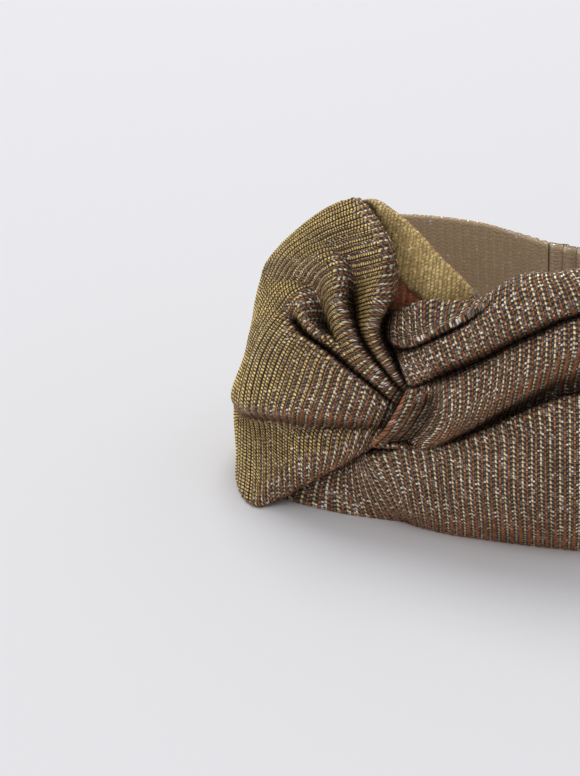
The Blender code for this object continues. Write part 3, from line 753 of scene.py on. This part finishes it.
rightBand = {
    "upperFolds": (
        # name and (along, height, out) at end and dive, then at knot, dimple, ridge and fan, then at
        # spread, crest, side and turn
        ("innerHem", None, None,
         (-6.5, 32.8, 8.6), (3.5, 33.0, 5.6), (13.0, 32.5, 5.6), (26.0, 28.0, 2.5),
         (44.0, 12.0, 1.0), (52.0, 6.0, 0.2), (66.0, 1.0, -1.2), (86.0, 1.0, -1.2)),
        ("behind", None, None,
         (-8.1, 33.9, 10.0), (1.9, 34.5, 3.5), (11.5, 35.9, 8.0), (23.0, 41.0, 6.0),
         (37.9, 49.1, 3.0), (46.5, 54.5, 2.4), (57.7, 61.3, 1.5), (76.7, 62.3, 1.1)),
        ("under", None, None,
         (-2.8, 40.4, 12.0), (6.4, 41.6, 3.5), (17.6, 43.1, 12.0), (27.0, 47.4, 10.0),
         (40.2, 57.4, 8.5), (48.5, 63.8, 8.2), (59.1, 71.4, 7.0), (77.6, 73.9, 5.0)),
        ("roll2", None, None,
         (1.1, 48.5, 11.0), (10.5, 49.9, 3.5), (21.5, 52.3, 15.0), (31.5, 59.2, 13.0),
         (42.5, 69.0, 12.5), (50.5, 74.8, 12.3), (60.4, 81.3, 11.5), (78.9, 84.5, 8.3)),
        ("roll2Top", None, None,
         (3.7, 55.0, 9.5), (12.4, 57.9, 7.0), (19.4, 60.9, 12.0), (31.4, 69.2, 10.5),
         (42.0, 76.9, 10.0), (50.2, 81.8, 9.9), (60.1, 87.3, 9.5), (78.1, 90.5, 6.8)),
        ("creaseF", None, None,
         (4.2, 56.5, 6.5), (10.1, 59.6, 4.5), (14.8, 61.9, 4.0), (27.7, 68.9, 3.5),
         (39.0, 76.3, 3.5), (47.8, 81.6, 3.5), (58.4, 87.5, 3.5), (76.4, 90.5, 2.5)),
        ("lipF", (-27.0, 50.0, -1.5), (2.6, 61.2, -1.0),
         (4.0, 58.3, 8.0), (10.6, 62.0, 8.0), (15.5, 64.9, 8.5), (28.4, 72.3, 8.5),
         (39.3, 79.6, 8.5), (47.8, 84.8, 8.4), (58.0, 90.4, 8.0), (76.0, 93.4, 5.8)),
        ("underRoll", (-27.5, 52.5, -1.5), (0.8, 63.3, -1.0),
         (2.4, 61.5, 8.5), (9.4, 65.6, 10.5), (14.9, 68.7, 11.5), (27.9, 76.2, 11.5),
         (38.8, 83.7, 11.5), (47.0, 88.9, 11.3), (57.1, 94.3, 10.5), (75.1, 96.8, 7.6)),
        ("roll1", (-28.0, 55.0, -1.5), (-1.0, 65.4, -1.0),
         (-0.5, 64.6, 7.0), (7.1, 68.4, 10.0), (13.4, 72.0, 11.2), (26.6, 79.5, 11.5),
         (37.8, 87.5, 11.5), (45.8, 92.9, 11.0), (55.8, 97.1, 10.0), (73.8, 98.3, 7.2)),
        ("roll1Top", (-28.5, 57.5, -1.5), (-2.5, 67.0, -1.1),
         (-2.8, 66.4, 5.0), (5.0, 70.2, 8.0), (11.8, 74.0, 9.5), (25.0, 81.8, 10.5),
         (35.8, 91.1, 10.5), (43.8, 96.9, 9.6), (54.2, 99.2, 8.0), (72.2, 101.3, 5.8)),
        ("creaseE", (-29.0, 60.0, -1.5), (-3.8, 68.6, -1.2),
         (-4.7, 67.6, 3.0), (2.5, 69.6, 4.0), (9.0, 73.4, 4.5), (22.5, 82.3, 5.5),
         (35.5, 94.0, 9.0), (42.4, 98.6, 7.8), (52.7, 100.6, 6.2), (70.7, 102.8, 4.3)),
        ("ridge0", (-30.0, 64.0, -1.5), (-5.4, 71.0, -1.2),
         (-6.5, 71.2, 5.0), (3.2, 73.2, 9.0), (9.6, 76.9, 9.5), (23.0, 85.2, 8.5),
         (35.2, 95.2, 7.8), (42.0, 99.3, 6.8), (52.2, 101.1, 5.6), (70.2, 103.5, 4.0)),
        ("creaseD", (-30.3, 67.0, -1.5), (-6.5, 73.0, -1.3),
         (-8.1, 73.2, 4.0), (0.8, 74.6, 5.5), (7.1, 77.6, 5.5), (23.0, 86.0, 7.0),
         (35.0, 96.0, 6.8), (41.8, 99.9, 6.0), (51.9, 101.5, 5.0), (69.9, 103.9, 3.6)),
        ("facet0", (-30.6, 70.0, -1.5), (-8.0, 75.0, -1.4),
         (-8.9, 75.6, 3.0), (-0.2, 77.9, 4.0), (6.0, 81.3, 4.5), (23.2, 87.4, 5.0),
         (34.8, 96.5, 5.6), (41.5, 100.4, 5.0), (51.6, 101.8, 4.2), (69.6, 104.3, 3.0)),
        ("topLine", (-31.0, 73.0, -1.5), (-9.5, 76.5, -1.4),
         (-8.6, 79.1, 1.0), (-1.8, 82.6, 2.5), (4.9, 86.0, 3.0), (23.8, 89.2, 3.2),
         (34.6, 96.7, 4.2), (41.0, 100.6, 3.6), (50.9, 101.8, 2.5), (68.9, 104.4, 1.8)),
        ("topEdge", (-31.0, 76.0, -1.5), (-11.0, 77.5, -1.6),
         (-9.0, 78.3, -1.5), (-2.9, 81.1, -0.8), (3.7, 84.6, 0.0), (23.2, 87.7, 0.5),
         (34.2, 95.3, 0.8), (40.5, 99.2, 0.2), (50.3, 100.4, -1.0), (68.3, 102.8, -1.0)),
    ),
    "slitFold": 6,  # the left band passes under this fold
    "upperTail": (
        ((108.0, 1.0, -1.9), (98.0, 100.5, -1.9)),
        ((138.0, 1.0, -1.9), (134.0, 94.5, -1.9)),
        ((170.0, 1.0, -1.9), (168.0, 86.0, -1.9)),
        ((205.0, 1.0, -1.9), (205.0, 77.0, -1.9)),
    ),
    "lowerFolds": (
        # name and (along, height, out) at end, back, corner and knot, then at waist, fan, spread, side
        # and turn
        ("hem", (-50.0, 1.0, 8.5), (-24.0, 1.0, 4.3), (0.6, 1.0, -0.8), (5.6, 1.0, 0.5),
         (18.7, 1.0, 1.8), (32.8, 1.0, 0.6), (47.2, 1.0, 0.0), (60.8, 1.0, -0.4), (80.0, 1.0, 0.4)),
        ("low", (-47.0, 10.0, 6.2), (-25.0, 9.0, 3.6), (-1.1, 6.1, 3.0), (5.9, 6.7, 4.5),
         (19.8, 7.9, 5.5), (34.0, 9.1, 6.0), (48.0, 10.5, 6.2), (61.1, 11.1, 6.0), (80.0, 11.5, 5.5)),
        ("middle", (-39.0, 26.0, 2.0), (-25.0, 20.0, 2.0), (-6.5, 15.4, 5.0), (4.6, 17.8, 7.0),
         (19.3, 20.6, 8.5), (33.5, 23.6, 9.5), (47.2, 27.2, 10.0), (60.5, 30.5, 10.0), (79.5, 31.5, 8.4)),
        ("high", (-36.0, 46.0, 0.4), (-25.0, 38.0, 0.4), (-12.3, 23.8, 5.0), (2.0, 28.5, 7.5),
         (17.8, 32.9, 9.0), (32.4, 39.2, 9.8), (46.2, 46.4, 10.3), (59.3, 53.3, 10.5), (78.5, 57.0, 9.0)),
        ("lip", (-35.0, 62.0, 0.4), (-24.0, 54.0, 0.4), (-14.3, 26.9, 4.2), (0.7, 31.3, 6.5),
         (16.5, 35.7, 8.0), (31.2, 43.2, 9.0), (45.0, 51.5, 9.5), (58.8, 59.0, 9.5), (78.0, 63.5, 8.4)),
    ),
    "lowerTail": (
        ((106.0, 1.0, 2.4), (102.0, 70.5, 5.6)),
        ((136.0, 1.0, 1.9), (134.0, 75.5, 2.7)),
        ((170.0, 1.0, 1.9), (168.0, 78.5, 1.9)),
        ((205.0, 1.0, 1.9), (205.0, 76.5, 1.9)),
    ),
    "lipTuck": (0.5, 0.8, 1.6, 2.4, 2.6, 2.8, 3.0, 3.0, 2.6, 1.5, 0.8, 0.4, 0.4),
    "upperCut": {"flat": (0.100, 0.240), "area": 0.0226},
    "lowerCut": {"flat": (0.075, 0.255), "area": 0.0178},
    "fine": 0.68,
    "coarse": 1.15,
    "across": 1.2,
}


def makeRightBand():
    fine, coarse = rightBand["fine"], rightBand["coarse"]
    stations = list(foldStations(rightBand["upperFolds"], 1))
    shares = evenShares(rightBand["upperFolds"])
    stations += [plainStation(shares, *ends) for ends in rightBand["upperTail"]]
    cells = [coarse] * 2 + [fine] * 8 + [coarse] * 3
    stations = np.array(stations)
    alongSteps = stepsFor(stations, cells)
    grid = smoothRows(stations, alongSteps).transpose(1, 0, 2)
    acrossSteps = stepsFor(grid, [rightBand["across"]] * (len(grid) - 1))
    grid = smoothRows(grid, acrossSteps).transpose(1, 0, 2)
    knotColumn, slitRow = sum(alongSteps[:2]), sum(acrossSteps[: rightBand["slitFold"]])
    upper = knitSheet(
        "right_band_upper", grid, bronzeKnit,
        keep=lambda column, row: (column >= knotColumn) | (row >= slitRow), vStart=slitRow,
    )
    stations = list(foldStations(rightBand["lowerFolds"], 1))
    shares = evenShares(rightBand["lowerFolds"])
    stations += [plainStation(shares, *ends) for ends in rightBand["lowerTail"]]
    cells = [1.4] * 2 + [fine] * 6 + [coarse] * 4
    stations = turnUnder(stations, rightBand["lipTuck"])
    lower = knitSheet("right_band_lower", clothGrid(stations, cells, rightBand["across"]), bronzeKnit)
    for piece in (upper, lower):
        markThreads(piece, gold=0.0)
    return upper, lower


rightUpper, rightLower = makeRightBand()
print("turban: right band", len(rightUpper.data.vertices), len(rightLower.data.vertices))

# Gathered casing at the back

casing = {
    "ends": (206.7, 257.2),
    "heights": (76.5, 80.5),
    "gathers": 9,
    "depth": 0.6,
    "thickness": 4.2,
    "cut": {"flat": (0.079, 0.078), "area": 0.0060},
}


def makeCasing():
    columns = casing["gathers"] * 16 + 1
    along = np.linspace(*casing["ends"], columns)
    top = np.linspace(*casing["heights"], columns)
    rows = 60
    grid = np.empty((columns, rows, 3))
    grid[:, :, 0] = along[:, None]
    rise = np.linspace(0.0, 1.0, rows)
    grid[:, :, 1] = 1.9 + (top[:, None] - 1.9) * rise
    turn = np.linspace(0.0, casing["gathers"] * 2 * np.pi, columns)[:, None]
    sway = 0.5 * np.sin(rise * 7.0 + 1.0)[None, :]
    grid[:, :, 2] = casing["depth"] * np.sin(turn + sway)
    piece = knitSheet("back_elastic_casing", grid, casingKnit, thickness=casing["thickness"])
    markThreads(piece, gold=0.0)
    return piece


backCasing = makeCasing()
print("turban: casing", len(backCasing.data.vertices))
shadeFolds([leftFront, leftInner, rightUpper, rightLower, backCasing])
print("turban: folds shaded")

# What each piece stands for

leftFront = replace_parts(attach(leftFront, "root"), "left_band")
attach(leftInner, "root")
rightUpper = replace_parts(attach(rightUpper, "root"), "right_band")
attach(rightLower, "root")
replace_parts(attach(backCasing, "root"), "back_elastic")

# Floor, light and camera

studio = {
    "floorSize": 6.0,
    "floorColour": (0.87, 0.87, 0.885),
    "skyColour": (0.97, 0.97, 1.0),
    "skyLevel": 0.57,
    "keyPlace": (-0.9, 1.4, 3.2),
    "keySize": 2.2,
    "keyPower": 50.0,
    "fillPlace": (-0.6, -1.1, 0.9),
    "fillSize": 1.2,
    "fillPower": 2.0,
}


def makeFloor():
    bpy.ops.mesh.primitive_plane_add(size=studio["floorSize"])
    floor = bpy.context.object
    floor.name = "floor"
    paint = bpy.data.materials.new("paleFloor")
    paint.use_nodes = True
    shader = paint.node_tree.nodes["Principled BSDF"]
    shader.inputs["Base Color"].default_value = (*studio["floorColour"], 1)
    shader.inputs["Roughness"].default_value = 0.8
    shader.inputs["Specular IOR Level"].default_value = 0.2
    floor.data.materials.append(paint)


def makeLight(name, place, size, power):
    data = bpy.data.lights.new(name, "AREA")
    data.shape = "DISK"
    data.size = size
    data.energy = power
    lamp = bpy.data.objects.new(name, data)
    lamp.location = place
    lamp.rotation_mode = "QUATERNION"
    lamp.rotation_quaternion = (Vector((0, 0, 0.05)) - Vector(place)).to_track_quat("-Z", "Y")
    bpy.context.scene.collection.objects.link(lamp)


def makeStudio():
    makeFloor()
    world = bpy.data.worlds.new("paleRoom")
    world.use_nodes = True
    sky = world.node_tree.nodes["Background"]
    sky.inputs["Color"].default_value = (*studio["skyColour"], 1)
    sky.inputs["Strength"].default_value = studio["skyLevel"]
    bpy.context.scene.world = world
    makeLight("keyLight", studio["keyPlace"], studio["keySize"], studio["keyPower"])
    makeLight("fillLight", studio["fillPlace"], studio["fillSize"], studio["fillPower"])
    bpy.context.scene.view_settings.view_transform = "Standard"


photoView = {
    "azimuth": 25.0,
    "elevation": 22.0,
    "distance": 0.750,
    "focal": 2083.33,  # in photograph pixels
    "frame": (580, 776),
    "mark": (-0.0145, -0.0557, 0.050),  # this point of the knot lies at markPixel
    "markPixel": (398, 405),
}


def makeCamera():
    az, el = math.radians(photoView["azimuth"]), math.radians(photoView["elevation"])
    width, height = photoView["frame"]
    distance, focal = photoView["distance"], photoView["focal"]
    right = Vector((math.cos(az), math.sin(az), 0))
    back = Vector((math.sin(az) * math.cos(el), -math.cos(az) * math.cos(el), math.sin(el)))
    up = back.cross(right)
    px, py = photoView["markPixel"]
    aside, above = (px - width / 2) / focal * distance, -(py - height / 2) / focal * distance
    place = Vector(photoView["mark"]) + back * distance - right * aside - up * above
    data = bpy.data.cameras.new("photoCamera")
    data.sensor_fit = "VERTICAL"
    data.sensor_height = 36.0
    data.lens = 36.0 * focal / height
    camera = bpy.data.objects.new("photoCamera", data)
    pose = Matrix((right, up, back)).transposed().to_4x4()
    pose.translation = place
    camera.matrix_world = pose
    bpy.context.scene.collection.objects.link(camera)
    bpy.context.scene.camera = camera


makeStudio()
makeCamera()
print("turban: floor, light and camera")
